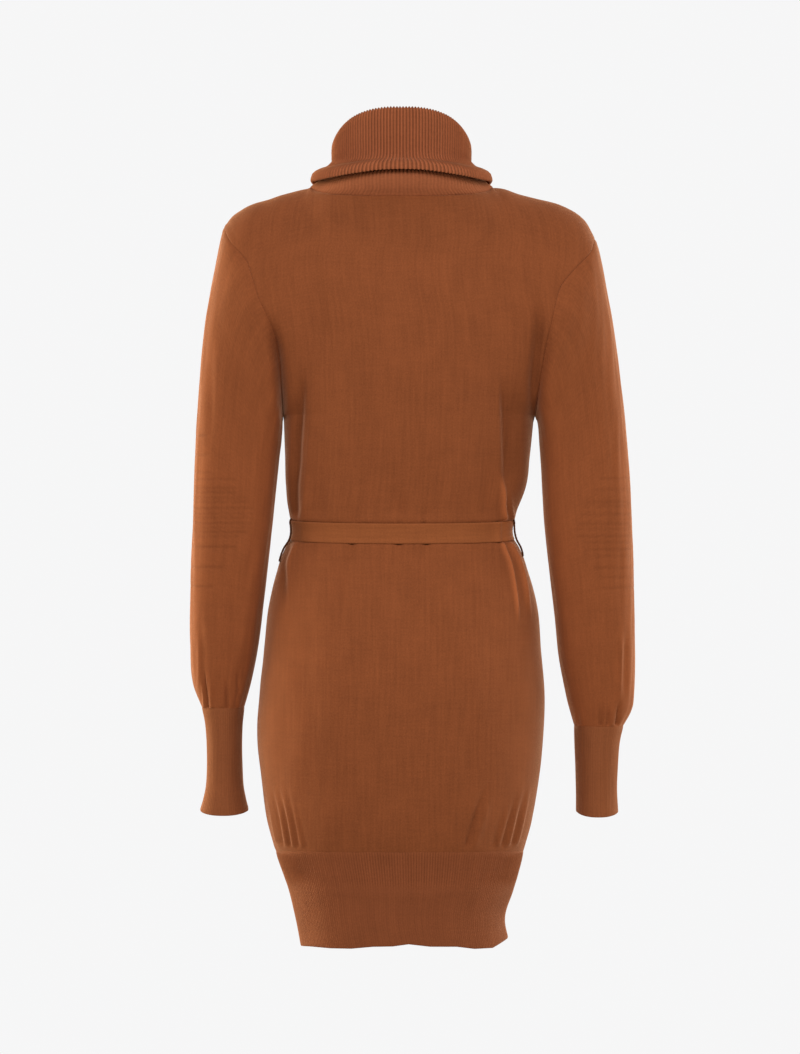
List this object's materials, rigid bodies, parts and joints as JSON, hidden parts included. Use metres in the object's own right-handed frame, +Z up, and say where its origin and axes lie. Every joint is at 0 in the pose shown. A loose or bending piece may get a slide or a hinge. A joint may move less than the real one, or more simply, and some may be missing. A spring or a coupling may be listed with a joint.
{
  "type": "sweater dress",
  "caption": "Knitted mini sweater dress with a folded roll collar, long sleeves, ribbed cuffs and hem, and a tied sash",
  "frame": {"origin": "in the neck opening at the height of the neck seam, where the wearer's neck and shoulders hold the dress up", "axes": "+Z up along the height of the worn dress, the front faces -Y, the wearer's left is +X"},
  "size_m": [0.5124, 0.2515, 0.9574],
  "materials": {
    "knit": "fine jersey knit, caramel brown",
    "rib": "1x1 rib knit, caramel brown",
    "sash": "flat knit, caramel brown"
  },
  "bodies": {
    "root": {"body_back": "knit", "body_front": "knit", "sleeve_left": "knit", "sleeve_right": "knit", "cuff_left": "rib", "cuff_right": "rib", "hem_band_back": "rib", "hem_band_front": "rib", "collar": "rib", "belt": "sash", "belt_knot": "sash", "belt_tail_left": "sash", "belt_tail_right": "sash", "belt_loop_left": "sash", "belt_loop_right": "sash"}
  },
  "joints": []
}
